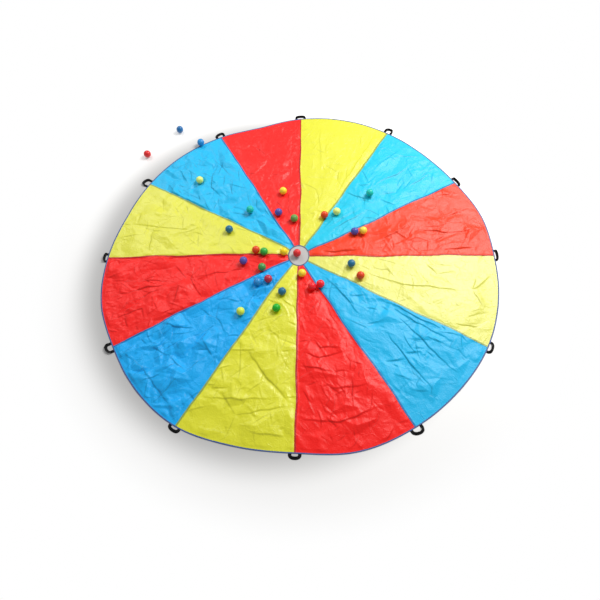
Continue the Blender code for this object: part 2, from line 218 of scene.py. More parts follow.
# The folds that the photograph shows, gore by gore. Each has a share of the crest's
# height, below 0 for a valley, then its points: the share of the way from the vent
# to the rim, and the place across the gore, from -1 at its first seam to 1 at its last
FOLD_SHARES = (
    (
        (0.5, (0.57, -0.25), (0.91, -0.5)), (-0.4, (0.49, -0.9), (0.53, 0.5)),
        (0.6, (0.4, 0.75), (0.95, 0.8)),
    ),
    (
        (0.9, (0.72, -0.65), (0.93, -0.5)), (0.9, (0.6, -0.25), (0.87, 0.0)),
        (1.0, (0.75, 0.45), (0.92, 0.5)), (-1.0, (0.45, -0.95), (0.48, -0.1), (0.44, 0.15)),
        (0.8, (0.14, -0.5), (0.42, -0.55)), (0.8, (0.16, 0.1), (0.45, 0.35)),
        (-0.7, (0.2, -0.2), (0.4, 0.1)), (0.7, (0.55, 0.2), (0.6, 0.85)),
    ),
    (
        (-1.0, (0.6, 0.0), (0.77, 0.3), (0.92, 0.35)), (-1.0, (0.68, 0.55), (0.77, 0.35)),
        (-0.9, (0.73, 0.85), (0.9, 0.8)), (-1.0, (0.07, 0.2), (0.26, 0.65)),
        (0.9, (0.6, -0.35), (0.5, -0.1), (0.42, 0.2)),
        (0.8, (0.44, -0.5), (0.5, -0.1), (0.56, 0.4)),
        (-1.0, (0.75, -0.15), (0.82, -0.2), (0.96, -0.25)),
        (0.8, (0.36, 0.15), (0.47, 0.0), (0.46, 0.75)), (0.7, (0.88, -0.85), (0.93, -0.75)),
        (-0.7, (0.62, -0.6), (0.7, -0.3)),
    ),
    (
        (0.8, (0.87, -0.1), (0.96, -0.5)), (0.8, (0.87, -0.1), (0.89, -0.45)),
        (0.8, (0.87, -0.1), (0.93, 0.25)), (0.7, (0.3, 0.05), (0.51, 0.2), (0.83, -0.05)),
        (-0.8, (0.62, -0.75), (0.68, -0.4), (0.78, -0.5)),
        (-1.0, (0.82, 0.85), (0.93, 0.7), (0.97, 0.45)),
    ),
    (
        (-1.0, (0.54, -0.6), (0.76, -0.35), (0.97, -0.2)), (0.9, (0.13, -0.3), (0.43, 0.2)),
        (-1.1, (0.57, 0.1), (0.7, 0.25), (0.93, 0.35)), (1.1, (0.42, -0.9), (0.8, -0.88)),
        (-0.9, (0.5, -0.72), (0.85, -0.72)), (-1.0, (0.71, 0.2), (0.76, -0.15)),
        (-1.1, (0.68, 0.75), (0.73, 0.3)), (-0.8, (0.47, 0.35), (0.52, -0.1)),
        (0.8, (0.75, 0.75), (0.83, 0.5)), (0.8, (0.85, 0.65), (0.91, 0.4)),
        (0.9, (0.3, -0.2), (0.36, -0.7)),
    ),
    (
        (-1.0, (0.44, 0.4), (0.5, 0.2), (0.49, -0.3)),
        (-1.1, (0.52, 0.85), (0.55, 0.3), (0.54, -0.45)), (-1.0, (0.67, -0.4), (0.8, -0.15)),
        (-1.1, (0.72, 0.85), (0.84, 0.6)), (1.3, (0.85, 0.9), (0.86, 0.2), (0.84, -0.6)),
        (1.0, (0.59, 0.9), (0.62, 0.0)), (-1.0, (0.84, 0.4), (0.89, 0.25)),
        (0.9, (0.24, -0.5), (0.3, 0.4)), (0.9, (0.7, 0.3), (0.73, -0.7)),
    ),
    (
        (-1.1, (0.55, 0.55), (0.61, 0.1), (0.68, -0.3), (0.78, -0.85)),
        (0.9, (0.83, 0.9), (0.79, 0.15), (0.76, -0.5)), (-0.9, (0.87, 0.15), (0.8, -0.9)),
        (-0.9, (0.96, 0.65), (0.95, 0.05)), (-0.8, (0.78, 0.6), (0.87, 0.15)),
        (0.9, (0.93, -0.9), (0.93, -0.2)), (0.8, (0.4, 0.3), (0.45, -0.4)),
    ),
    (
        (-1.1, (0.55, 0.8), (0.5, 0.0), (0.53, -0.55)),
        (-1.2, (0.75, 0.95), (0.7, 0.65), (0.62, 0.3)),
        (-1.0, (0.98, 0.88), (0.92, 0.3), (0.93, -0.35), (0.95, -0.8)),
        (1.0, (0.79, 0.2), (0.78, -0.45)), (-1.0, (0.79, -0.45), (0.64, -0.55)),
        (-1.0, (0.99, -0.4), (0.81, -0.45)), (-1.1, (0.84, 0.55), (0.8, 0.15)),
        (0.9, (0.96, 0.05), (0.86, -0.1)), (0.8, (0.36, 0.1), (0.4, 0.6)),
        (0.9, (0.62, -0.05), (0.66, -0.9)),
    ),
    (
        (-1.2, (0.51, 0.95), (0.54, 0.0), (0.51, -0.95)), (-1.1, (0.97, 0.45), (0.6, 0.05)),
        (-1.1, (0.98, 0.05), (0.89, 0.07), (0.6, 0.03)), (-1.0, (0.87, -0.2), (0.69, -0.07)),
        (0.8, (0.53, 0.05), (0.34, -0.1), (0.18, -0.1)),
        (-1.0, (0.98, -0.45), (0.81, -0.45), (0.82, -0.75)), (0.9, (0.58, 0.0), (0.67, -0.75)),
        (0.8, (0.55, 0.02), (0.46, 0.6)), (0.8, (0.55, 0.02), (0.62, 0.7)),
    ),
    (
        (-0.7, (0.96, -0.12), (0.71, -0.03), (0.59, 0.03)), (-0.6, (0.87, 0.8), (0.82, 0.4)),
        (-0.8, (0.82, -0.1), (0.81, -0.42), (0.79, -0.85)), (-0.7, (0.56, 0.03), (0.52, -0.65)),
        (-0.6, (0.69, 0.45), (0.66, 0.0)),
    ),
    (
        (-1.2, (0.82, 0.58), (0.74, 0.12), (0.67, -0.25), (0.57, -0.3)),
        (1.0, (0.8, 0.66), (0.71, 0.24)), (-0.9, (0.88, 0.5), (0.66, 0.55)),
        (-0.9, (0.7, 0.4), (0.62, 0.05)), (-0.9, (0.63, 0.35), (0.53, 0.05)),
        (0.8, (0.93, -0.3), (0.8, -0.5)), (0.8, (0.45, -0.6), (0.3, 0.2)),
        (-0.8, (0.5, 0.6), (0.36, 0.1)),
    ),
    (
        (0.8, (0.5, 0.5), (0.19, 0.05)), (0.8, (0.77, 0.8), (0.69, 0.75)),
        (-0.9, (0.97, 0.6), (0.88, 0.45)), (-0.9, (0.97, 0.6), (0.89, 0.85)),
        (-0.8, (0.56, -0.45), (0.56, 0.15)), (0.6, (0.85, -0.3), (0.7, 0.1)),
    ),
)

# Facets that the photograph shows, gore by gore: how dark one is, below 0 for a
# light one, then its middle's place as above
PATCH_SHARES = {
    2: (
        (-0.7, 0.9, 0.4), (0.7, 0.75, -0.1), (-0.6, 0.6, 0.3), (0.6, 0.45, -0.2),
    ),
    4: (
        (-0.8, 0.37, -0.55), (-0.9, 0.52, -0.33), (-0.7, 0.7, -0.45), (0.8, 0.9, 0.3),
        (0.7, 0.93, -0.3),
    ),
    5: (
        (1.0, 0.89, -0.1), (-0.8, 0.79, 0.0), (-0.7, 0.62, 0.5), (0.6, 0.5, -0.4), (0.7, 0.93, 0.6),
    ),
    6: (
        (0.7, 0.9, -0.3), (-0.8, 0.8, 0.3), (0.6, 0.62, -0.4), (-0.6, 0.55, 0.3),
    ),
    7: (
        (1.7, 0.81, 0.5), (1.8, 0.92, 0.1), (1.6, 0.93, -0.75), (1.4, 0.95, 0.7),
        (-1.4, 0.83, -0.05), (-1.2, 0.63, -0.2), (-1.4, 0.84, -0.42), (1.1, 0.7, 0.1),
        (1.0, 0.55, 0.5), (-1.1, 0.72, 0.75),
    ),
    8: (
        (0.7, 0.9, 0.5), (-0.6, 0.75, 0.2), (0.7, 0.92, -0.4),
    ),
    10: (
        (-1.0, 0.86, 0.3), (0.9, 0.8, -0.3), (-0.8, 0.62, -0.1), (0.7, 0.5, 0.2), (0.7, 0.93, 0.6),
    ),
    11: (
        (0.6, 0.8, 0.6), (-0.5, 0.7, -0.3), (0.6, 0.55, 0.3),
    ),
}

# Binding tape. Each point of its folded section has the share of the tape's width in from
# the edge, its height, and its share of the lap's rise
BINDING_WIDTH = 0.01
BINDING_STATIONS = 720
VENT_STATIONS = 144
BINDING_PROFILE = (
    (1.0, 0.0003, 1), (0.985, 0.0009, 1), (0.8, 0.0013, 1), (0.45, 0.0016, 1), (0.16, 0.0015, 1),
    (0.04, 0.001, 0.5), (0.0, 0.0002, 0), (0.05, -0.0006, 0), (0.25, -0.0009, 0),
    (0.97, -0.0009, 0), (1.0, -0.0005, 0),
)

# Webbing handles: each has its shares of the spread, reach, slant and tilt
WEBBING_WIDTH = 0.025
WEBBING_THICKNESS = 0.0014
WEBBING_RIBS = 12
WEBBING_VALLEY_SHARE = 0.82
WEBBING_RIB_SHARE = 0.18
WEBBING_EDGE_SHARE = 0.5
WEBBING_EDGE_POWER = 8
WEBBING_SHARP_ANGLE = 50
HANDLE_GAP = 0.0005
HANDLE_TAB = 0.004
HANDLE_TUCK = 0.0045
HANDLE_SPREAD = 0.036
HANDLE_REACH = 0.055
HANDLE_SHARES = (
    (1.2, 0.35, -0.25, 0.6), (0.9, 0.85, 0.3, 0.45), (1.3, 0.26, 0.1, 0.6), (1.3, 0.26, -0.1, 0.6),
    (1.2, 0.5, 0.15, -0.35), (1.15, 0.75, -0.3, -0.35), (1.0, 0.5, 0.0, -0.3), (1.05, 0.45, -0.2, -0.3),
    (1.0, 0.8, 0.15, 0.4), (1.0, 0.35, 0.1, 0.6), (1.0, 0.95, -0.35, 0.4), (1.05, 0.6, 0.3, 0.35),
)
HANDLE_TILT_SHARE = 0.5
HANDLE_CORNER_POWER = 0.6
HANDLE_STEPS = 64
FIT_GAP = 0.0003

# Stitches
STITCH_PITCH = 0.0042
STITCH_LENGTH = 0.0032
STITCH_WIDTH = 0.0009
STITCH_HEIGHT = 0.0005
SEAM_STITCH_SHARE = 0.3
BINDING_STITCH_SHARE = 0.82
BINDING_STITCH_LIFT = 0.0012

# Play balls
BALL_RADIUS = 0.035
BALL_INSET = 0.0006
BALL_SEGMENTS = 40
BALL_RINGS = 24
BALL_SEAM_HEIGHT = 0.0005
BALL_SEAM_WIDTH = 0.0012
BALL_TILTS = (0.3, 1.4)
BALL_DENTS = 3
BALL_DENT_DEPTHS = (0.0003, 0.0011)
BALL_DENT_SHARE = 0.12
BALL_PRESS_REACH = 0.075
BALL_CLEARANCE = 0.0004

# Colours, as red, green and blue from 0 to 255
GORE_COLOURS = ("yellow", "blue", "red")
CLOTH_COLOURS = {"yellow": (221, 221, 46), "blue": (28, 176, 235), "red": (248, 32, 28)}
# Gores whose colour is painted a little off the rest's for the light and glare that fall on them: lit
# and shaded copies of the same cloth
LIT_AND_SHADED_CLOTH_COLOURS = {
    1: (30, 196, 230), 2: (246, 58, 18), 3: (221, 221, 92), 4: (28, 182, 234), 5: (248, 24, 18),
    6: (221, 221, 28), 7: (20, 170, 242), 9: (221, 221, 60), 10: (34, 184, 235),
}
LAP_COLOURS = {"yellow": (98, 142, 72), "blue": (42, 80, 148), "red": (160, 36, 20)}
TAPE_COLOUR = (58, 86, 146)
VENT_TAPE_COLOUR = (92, 100, 126)
THREAD_COLOUR = (60, 110, 170)
WEBBING_COLOUR = (9, 9, 11)
BALL_COLOURS = {
    "yellow": (255, 226, 74), "amber": (255, 224, 52), "gold": (255, 220, 20),
    "lemon": (230, 250, 136), "lime": (216, 236, 78),
    "green": (42, 174, 60), "teal": (0, 196, 178), "sage": (102, 158, 78), "moss": (70, 150, 76),
    "bright_green": (20, 182, 36),
    "red": (224, 42, 44), "bright_red": (248, 22, 38), "orange_red": (226, 66, 4),
    "crimson": (192, 36, 68),
    "indigo": (78, 80, 172), "cerulean": (24, 110, 150), "sky": (36, 142, 212), "blue": (28, 108, 170),
}
# Hues of the balls: their own colours, with painted light in some: the cerulean and orange red ones
# paint in the colour of the cloth that shows through a translucent ball
BALL_HUES = {
    "yellow_1": "amber", "yellow_2": "lemon", "yellow_4": "gold", "yellow_5": "lime",
    "yellow_6": "amber", "yellow_7": "lemon",
    "green_1": "teal", "green_2": "sage", "green_3": "teal", "green_5": "moss",
    "green_6": "bright_green",
    "red_1": "orange_red", "red_2": "orange_red", "red_4": "crimson", "red_5": "bright_red",
    "red_6": "bright_red", "red_7": "orange_red",
    "blue_1": "indigo", "blue_2": "indigo", "blue_3": "cerulean", "blue_4": "indigo",
    "blue_5": "cerulean", "blue_6": "cerulean", "blue_7": "sky", "blue_9": "sky",
}

# Cloth's finish: a share makes its colour that much lighter or darker, and a range is
# where a texture starts to show and where it shows in full
CLOTH_ROUGHNESS = 0.4
CLOTH_SPECULAR = {"yellow": 0.7, "blue": 0.28, "red": 0.32}
CLOTH_SHEEN = 0.12
CLOTH_SHEEN_ROUGHNESS = 0.4
DYE_CLOUDS = {"Scale": 2.6, "Detail": 4.0, "Roughness": 0.6}
DYE_SHARES = (0.9, 1.08)
DYE_SPECKS = {"Scale": 42.0, "Detail": 3.0, "Roughness": 0.6}
SPECK_SHARE = 0.82
SPECK_RANGE = (0.5, 0.85)
SPECK_DARKNESS = 0.35
LAP_DARKNESS = 0.75
# Shade painted along creases: how dark the shaded colour is, where it starts and is full, and how much
# of it each cloth shows
CREASE_SHADE_SHARE = 0.42
CREASE_SHADE_RANGE = (0.1, 1.0)
CREASE_SHADE_DARKNESS = {"yellow": 0.34, "blue": 0.55, "red": 0.45}
CRINKLE_TEXTURE = {"Scale": 48.0, "Detail": 3.0, "Roughness": 0.42, "Distortion": 1.2}
CRINKLE_BUMP = {"Strength": 0.8, "Distance": 0.0022}
WEB_SCALE = 13.0
WEB_SHIFT = 3.0
WEB_LINE_WIDTH = 0.006
WEB_WARP = {"Scale": 7.8, "Detail": 2.0, "Roughness": 0.5}
WEB_WARP_SHARE = 1.1
WEB_GAPS = {"Scale": 11.7, "Detail": 1.0}
WEB_GAP_RANGE = (0.42, 0.62)
WEB_BUMP = {"Strength": 0.5, "Distance": 0.0015}
CLOTH_THREADS = 900.0
CLOTH_WEAVE_BUMP = {"Strength": 0.25, "Distance": 0.0002}

# A wave texture of scale 1 has about so many threads to the metre
WAVE_THREADS = 20
WEAVE_DISTORTION = 0.6

# Finish of the tape and thread, the webbing and the balls
TAPE_ROUGHNESS = 0.55
TAPE_SHEEN = 0.15
TAPE_CLOUDS = {"Scale": 30.0, "Detail": 4.0}
TAPE_SHARES = (0.8, 1.15)
TAPE_RIBS = {"Scale": 700.0, "Detail": 2.0}
TAPE_BUMP = {"Strength": 0.4, "Distance": 0.0003}
WEBBING_ROUGHNESS = 0.7
WEBBING_SPECULAR = 0.15
WEBBING_SHEEN = 0.05
WEBBING_DUST = {"Scale": 90.0, "Detail": 5.0}
WEBBING_DUST_SHARE = 2.2
WEBBING_DUST_RANGE = (0.45, 0.8)
WEBBING_THREADS = 1400.0
WEBBING_BUMP = {"Strength": 0.7, "Distance": 0.0004}
BALL_FLOW = {"Scale": 35.0, "Detail": 3.0, "Distortion": 1.5}
BALL_FLOW_SHARES = (0.92, 1.05)
BALL_SCUFFS = {"Scale": 180.0, "Detail": 6.0, "Roughness": 0.7}
BALL_SCUFF_RANGE = (0.4, 0.75)
BALL_ROUGHNESS_RANGE = (0.24, 0.42)
BALL_BUMP = {"Strength": 0.15, "Distance": 0.0004}

# Camera, floor and light
CAMERA_PLACE = (-0.0119, -2.3164, 3.478)
CAMERA_TARGET = (-0.0119, -0.4464, 0.0)
CAMERA_LENS = 28.48
CAMERA_SENSOR = 36.0
FLOOR_SIZE = 60.0
FLOOR_TONE = 0.97
SHADE_MIDDLES = ((-0.235, -0.15, 0.0), (-0.2, 0.02, 0.0))
SHADE_INNER_RADIUS = 1.45
SHADE_OUTER_RADIUS = 1.81
SHADE_GREY = 0.5
FAR_START = 1.75
FAR_END = 2.3
KEY_PLACE = (3.34, 3.3, 5.3)
KEY_SIZE = 3.5
KEY_POWER = 448.0
KEY_COLOUR = (1.0, 0.985, 0.96)
FILL_PLACE = (-2.6, 3.3, 4.0)
FILL_SIZE = 2.0
FILL_POWER = 65.0
WHITE = (1.0, 1.0, 1.0)
WORLD_STRENGTH = 0.41


def linear(colour):
    """Linear colour from 0 to 255 sRGB values."""
    shares = [value / 255 for value in colour]
    return tuple(s / 12.92 if s <= 0.04045 else ((s + 0.055) / 1.055) ** 2.4 for s in shares)


def ease(share):
    """Smooth step from 0 to 1 with flat ends."""
    share = np.clip(share, 0.0, 1.0)
    return share ** 3 * (10 - 15 * share + 6 * share * share)


def between(values, position):
    """A smooth closed curve through a table's values, read at fractional positions."""
    values = np.asarray(values, float)
    first = np.floor(position).astype(int)
    step = position - first
    before, start, end, after = (values[(first + place) % len(values)] for place in (-1, 0, 1, 2))
    bend = 2 * before - 5 * start + 4 * end - after
    twist = 3 * (start - end) + after - before
    return start + step * (end - before + step * (bend + step * twist)) / 2


def rim_reach(clockwise):
    """Share of the radius that the laid rim reaches at each angle from the +Y seam."""
    shares = []
    for seam, middle in zip(SEAM_REACH_SHARES, MIDDLE_REACH_SHARES):
        shares += [seam, middle]
    return between(shares, 2 * clockwise / GORE_ANGLE)


def lay(radius, clockwise):
    """Where points of the flat cut come to lie, as x and y on the floor."""
    outward = radius / RIM_RADIUS
    pull = ease(outward / RIM_ZONE_SHARE)
    laid_radius = radius - (1 - rim_reach(clockwise)) * RIM_RADIUS * pull
    turn = between(SEAM_TURN_SHARES, clockwise / GORE_ANGLE) * pull
    twist = CENTRE_TWIST_SHARE * np.maximum(1 - outward, 0) ** CENTRE_TWIST_POWER
    from_vent = (radius - VENT_RADIUS) / RIM_RADIUS
    loose = ease((1 - outward) / SEAM_WAVER_EDGE_SHARE) * ease(from_vent / SEAM_WAVER_EDGE_SHARE)
    flat_x = radius * np.sin(clockwise)
    flat_y = radius * np.cos(clockwise)
    waver = noise(flat_x, flat_y, SEAM_WAVER_SIZE, SEEDS["seam_waver"])
    angle = clockwise + (turn + twist) * GORE_ANGLE + SEAM_WAVER * waver * loose / radius
    near = np.exp(-(radius / (VENT_STRETCH_ZONE_SHARE * VENT_RADIUS)) ** 2)
    x = laid_radius * np.sin(angle) * (1 + VENT_STRETCH_SHARES[0] * near)
    y = laid_radius * np.cos(angle) * (1 + VENT_STRETCH_SHARES[1] * near)
    return x + VENT_MIDDLE_SHARES[0] * RIM_RADIUS, y + VENT_MIDDLE_SHARES[1] * RIM_RADIUS


def random_table(seed):
    """Random values from -1 to 1, one for each cell of a field."""
    return np.random.default_rng(seed).uniform(-1, 1, (NOISE_CELLS, NOISE_CELLS))


def noise(x, y, size, seed):
    """Smooth random field, mostly within -1 and 1, with features about a size wide."""
    turns = random_table(seed) * math.pi
    u = x / size
    v = y / size
    i = np.floor(u).astype(int)
    j = np.floor(v).astype(int)
    total = np.zeros_like(u)
    for di in (0, 1):
        for dj in (0, 1):
            turn = turns[(i + di) % NOISE_CELLS, (j + dj) % NOISE_CELLS]
            du = u - i - di
            dv = v - j - dj
            weight = (1 - ease(np.abs(du))) * (1 - ease(np.abs(dv)))
            total += weight * (np.cos(turn) * du + np.sin(turn) * dv)
    return total * NOISE_GAIN


def varied(x, y, size, seed, shares):
    """A share that varies softly over a size: its middle, spread, least and most are given."""
    middle, spread, least, most = shares
    return np.clip(middle + spread * noise(x, y, size, seed), least, most)


def facets(x, y, size, seed):
    """Random field of flat triangles with sharp folds between them, from -1 to 1."""
    heights = random_table(seed)
    warp_size = size * FACET_WARP_SIZE_SHARE
    u = x / size + FACET_WARP_SHARE * noise(x, y, warp_size, seed + 1)
    v = y / size + FACET_WARP_SHARE * noise(x, y, warp_size, seed + 2)
    skew = (u + v) * (math.sqrt(3) - 1) / 2
    i = np.floor(u + skew).astype(int)
    j = np.floor(v + skew).astype(int)
    fu = u + skew - i
    fv = v + skew - j
    here_i, here_j = i % NOISE_CELLS, j % NOISE_CELLS
    next_i, next_j = (i + 1) % NOISE_CELLS, (j + 1) % NOISE_CELLS
    side = np.where(fu > fv, heights[next_i, here_j], heights[here_i, next_j])
    near = heights[here_i, here_j] * (1 - np.maximum(fu, fv))
    return near + side * np.abs(fu - fv) + heights[next_i, next_j] * np.minimum(fu, fv)


def ridges(x, y, size, seed):
    """Random field of sharp crests over soft valleys, from 0 to 1."""
    return 1 - np.minimum(np.abs(noise(x, y, size, seed)) * RIDGE_GAIN, 1)


def faces_away(number, side_x, side_y):
    """1 where a direction in a gore's flat cut points to the steep side of most folds, or else -1."""
    turn = (number + 0.5) * GORE_ANGLE
    x = side_x * math.cos(turn) + side_y * math.sin(turn)
    y = side_y * math.cos(turn) - side_x * math.sin(turn)
    return 1 if x * STEEP_WAY[0] + y * STEEP_WAY[1] > 0 else -1


def fold_profile(beside, steep, gentle):
    """A sharp crest that drops steeply where beside is above 0 and gently where it is below."""
    away = np.abs(beside) / np.where(beside > 0, steep, gentle)
    tail = (1 - FOLD_KNEE) * np.exp((FOLD_KNEE - away) / (1 - FOLD_KNEE))
    return np.where(away < FOLD_KNEE, 1 - away, tail)


def painted_crease_shade(beside, steep):
    """Painted shade of a crease, 1 on the steep side of a fold's crest, where shade falls."""
    return np.exp(-((beside - steep / 2) / CREASE_SHADE_WIDTH) ** 2)


def fold_line(across, along, points):
    """Distance from a line of points, above 0 on its left, and a share that fades to its ends."""
    steps = [math.hypot(*(end - start)) for start, end in zip(points, points[1:])]
    nearest = np.full_like(across, RIM_RADIUS)
    beside = np.full_like(across, RIM_RADIUS)
    place = np.zeros_like(across)
    travelled = 0.0
    for start, end, step in zip(points, points[1:], steps):
        heading = (end - start) / step
        ahead = (across - start[0]) * heading[0] + (along - start[1]) * heading[1]
        share = np.clip(ahead / step, 0, 1)
        gap_x = across - start[0] - heading[0] * share * step
        gap_y = along - start[1] - heading[1] * share * step
        distance = np.hypot(gap_x, gap_y)
        closer = distance < nearest
        nearest = np.where(closer, distance, nearest)
        side = np.copysign(distance, heading[0] * gap_y - heading[1] * gap_x)
        beside = np.where(closer, side, beside)
        place = np.where(closer, travelled + share * step, place)
        travelled += step
    return beside, np.maximum(np.sin(math.pi * place / travelled), 0) ** FOLD_FADE_POWER


def flat_place(outward, side):
    """Place in a gore's flat cut of a share of the way to the rim and a share of the way to a seam."""
    radius = VENT_RADIUS + (RIM_RADIUS - VENT_RADIUS) * outward
    turn = side * GORE_ANGLE / 2
    return np.array((radius * math.sin(turn), radius * math.cos(turn)))


def placed_folds(number, across, along):
    """Height of one gore's photographed folds, in the flat cut, and the shade painted along their
    creases.
    """
    height = np.zeros_like(across)
    crease_shade = np.zeros_like(across)
    random = np.random.default_rng(SEEDS["placed_folds"] + number)
    sway = gore_seeds(number)
    sway_x = SWAY_REACH * noise(across, along, SWAY_SIZE, sway["sway_x"])
    sway_y = SWAY_REACH * noise(across, along, SWAY_SIZE, sway["sway_y"])
    for strength, *places in FOLD_SHARES[number]:
        points = [flat_place(*place) for place in places]
        beside, fade = fold_line(across + sway_x, along + sway_y, points)
        way = points[-1] - points[0]
        beside *= faces_away(number, -way[1], way[0]) * (1 if strength > 0 else -1)
        gentle = random.uniform(*GENTLE_WIDTHS)
        height += FOLD_RISE * strength * fade * fold_profile(beside, STEEP_WIDTH, gentle)
        mark = painted_crease_shade(beside, STEEP_WIDTH)
        crease_shade = np.maximum(crease_shade, min(abs(strength), 1) * fade * mark)
    return height, crease_shade


def little_folds(number, across, along):
    """Height of one gore's short folds, scattered at random in the flat cut, and the shade painted
    along their creases.
    """
    random = np.random.default_rng(SEEDS["little_folds"] + number)
    height = np.zeros_like(across)
    crease_shade = np.zeros_like(across)
    least_rise, most_rise = LITTLE_FOLD_RISES
    least_shade, more_shade = LITTLE_FOLD_SHADE_SHARES
    for _ in range(LITTLE_FOLD_COUNTS[number]):
        radius = RIM_RADIUS * math.sqrt(random.uniform(*LITTLE_FOLD_PLACE_SHARES))
        turn = random.uniform(-LITTLE_FOLD_TURN_SHARE, LITTLE_FOLD_TURN_SHARE) * GORE_ANGLE
        heading = random.choice(LITTLE_FOLD_HEADINGS) + random.normal(0, LITTLE_FOLD_HEADING_SPREAD)
        length = random.uniform(*LITTLE_FOLD_LENGTHS)
        size = random.uniform(0, 1)
        bend = random.normal(0, LITTLE_FOLD_BEND_SHARE) * length
        rise = least_rise + (most_rise - least_rise) * size * size
        rise *= random.choice((-1, 1)) * GORE_STYLE_SHARES[number][-1]
        flip = random.choice((1, 1, 1, -1))
        x = radius * math.sin(turn)
        y = radius * math.cos(turn)
        reach = length / 2 + LITTLE_FOLD_REACH_SHARE * LITTLE_GENTLE_WIDTH
        near = (np.abs(across - x) < reach) & (np.abs(along - y) < reach)
        if not near.any():
            continue
        way = (math.cos(heading), math.sin(heading))
        ahead = ((across[near] - x) * way[0] + (along[near] - y) * way[1]) * 2 / length
        beside = (along[near] - y) * way[0] - (across[near] - x) * way[1] - bend * ahead ** 2
        beside *= faces_away(number, -way[1], way[0]) * math.copysign(1, rise) * flip
        fade = np.clip(1 - ahead ** 2, 0, 1)
        height[near] += rise * fade * fold_profile(beside, LITTLE_STEEP_WIDTH, LITTLE_GENTLE_WIDTH)
        mark = painted_crease_shade(beside, LITTLE_STEEP_WIDTH)
        crease_shade[near] = np.maximum(crease_shade[near], (least_shade + more_shade * size) * fade * mark)
    return height, crease_shade


def patches(number, across, along):
    """Height of one gore's photographed facets: low pyramids with one wide side, dark or light."""
    random = np.random.default_rng(SEEDS["patches"] + number)
    away = math.atan2(STEEP_WAY[1], STEEP_WAY[0]) + (number + 0.5) * GORE_ANGLE
    reaches = (PATCH_REACH, PATCH_SIDE_REACH, PATCH_SIDE_REACH)
    height = np.zeros_like(across)
    for darkness, *place in PATCH_SHARES.get(number, ()):
        middle = flat_place(*place)
        x = across - middle[0]
        y = along - middle[1]
        first = away + (0 if darkness > 0 else math.pi) + random.uniform(-PATCH_TURN, PATCH_TURN)
        turns = (0, random.uniform(*PATCH_SIDE_TURNS), -random.uniform(*PATCH_SIDE_TURNS))
        sides = []
        for turn, reach in zip(turns, reaches):
            sides.append((x * math.cos(first + turn) + y * math.sin(first + turn)) / reach)
        height += PATCH_TILT * PATCH_REACH * abs(darkness) * np.maximum(1 - np.max(sides, axis=0), 0)
    return height


def folds(number, across, along):
    """Height of all the folds of one gore, and the shade painted along their creases."""
    height, crease_shade = placed_folds(number, across, along)
    more_height, more_crease_shade = little_folds(number, across, along)
    return height + more_height, np.maximum(crease_shade, more_crease_shade)


def gore_seeds(number):
    """Seeds of one gore's own fields."""
    return {field: GORE_SEED * (number + 1) + step for field, step in GORE_SEEDS.items()}


def gore_relief(number, across, along):
    """Height of one gore's random relief over its seams: its large swells, then the rest."""
    puff, crumple, wrinkle, crinkle, pull, _ = GORE_STYLE_SHARES[number]
    seeds = gore_seeds(number)
    puffed = PUFF_SHARES[0] + PUFF_SHARES[1] * noise(across, along, PUFF_SIZE, seeds["puff"])
    swell = LIE_HEIGHT + PUFF_HEIGHT * puff * puffed
    crumpled = facets(across, along * CRUMPLE_STRETCH_SHARE, CRUMPLE_SIZE, seeds["crumple"])
    height = CRUMPLE_HEIGHT * crumple * crumpled
    busy = varied(across, along, BUSY_SIZE, seeds["busy"], BUSY_SHARES)
    height += WRINKLE_HEIGHT * wrinkle * busy * facets(across, along, WRINKLE_SIZE, seeds["wrinkle"])
    height += CRINKLE_HEIGHT * crinkle * busy * facets(across, along, CRINKLE_SIZE, seeds["crinkle"])
    drawn = varied(across, along, PULL_PLACE_SIZE, seeds["pull_place"], PULL_PLACE_SHARES)
    bend = PULL_BEND * noise(across, along, PULL_BEND_SIZE, seeds["pull_bend"])
    pulled = ridges(across + bend, along * PULL_STRETCH_SHARE, PULL_SIZE, seeds["pull"])
    height += PULL_HEIGHT * pull * drawn * (pulled - PULL_DEPTH_SHARE)
    return swell, height


def rim_wave(clockwise):
    """How high the bound rim lies off the floor: nothing at the seams, soft waves between."""
    gore = clockwise / GORE_ANGLE
    middle = np.sin(math.pi * (gore - np.floor(gore))) ** 2
    along = (clockwise % (2 * math.pi)) * RIM_RADIUS
    wave = varied(along, 0 * clockwise, RIM_WAVE_SIZE, SEEDS["rim_wave"], RIM_WAVE_SHARES)
    return RIM_WAVE_HEIGHT * middle * wave


def seam_distance(radius, clockwise):
    """Distance along the cloth from the nearest seam's line."""
    gore = clockwise / GORE_ANGLE
    return np.abs(gore - np.round(gore)) * GORE_ANGLE * radius


def puckers(radius, clockwise):
    """Small ripples that the stitching draws in along each seam, none of them like the next seam's."""
    gore = clockwise / GORE_ANGLE
    side = np.sign(gore - np.round(gore)) * seam_distance(radius, clockwise)
    seam = np.round(gore) % GORE_COUNT
    slant = radius + PUCKER_SLANT_SHARE * side
    beside = seam * PUCKER_SEAM_STEP + side * PUCKER_STRETCH_SHARE
    ripple = noise(slant, beside, PUCKER_SIZE, SEEDS["pucker"])
    seed = SEEDS["pucker_patch"]
    strength = varied(radius, seam * PUCKER_PATCH_STEP, PUCKER_PATCH_SIZE, seed, PUCKER_SHARES)
    return PUCKER_HEIGHT * strength * np.exp(-np.abs(side) / PUCKER_REACH) * (0.5 + ripple)


def rim_puckers(from_rim, clockwise):
    """Small ripples that run in from the bound rim."""
    along = (clockwise % (2 * math.pi)) * RIM_RADIUS
    seed = SEEDS["rim_pucker_patch"]
    strength = varied(along, 0 * along, RIM_PUCKER_PATCH_SIZE, seed, RIM_PUCKER_SHARES)
    inward = PUCKER_STRETCH_SHARE * from_rim
    ripple = noise(along, inward, RIM_PUCKER_SIZE, SEEDS["rim_pucker"])
    return RIM_PUCKER_HEIGHT * strength * ripple * np.exp(-np.abs(from_rim) / RIM_PUCKER_REACH)


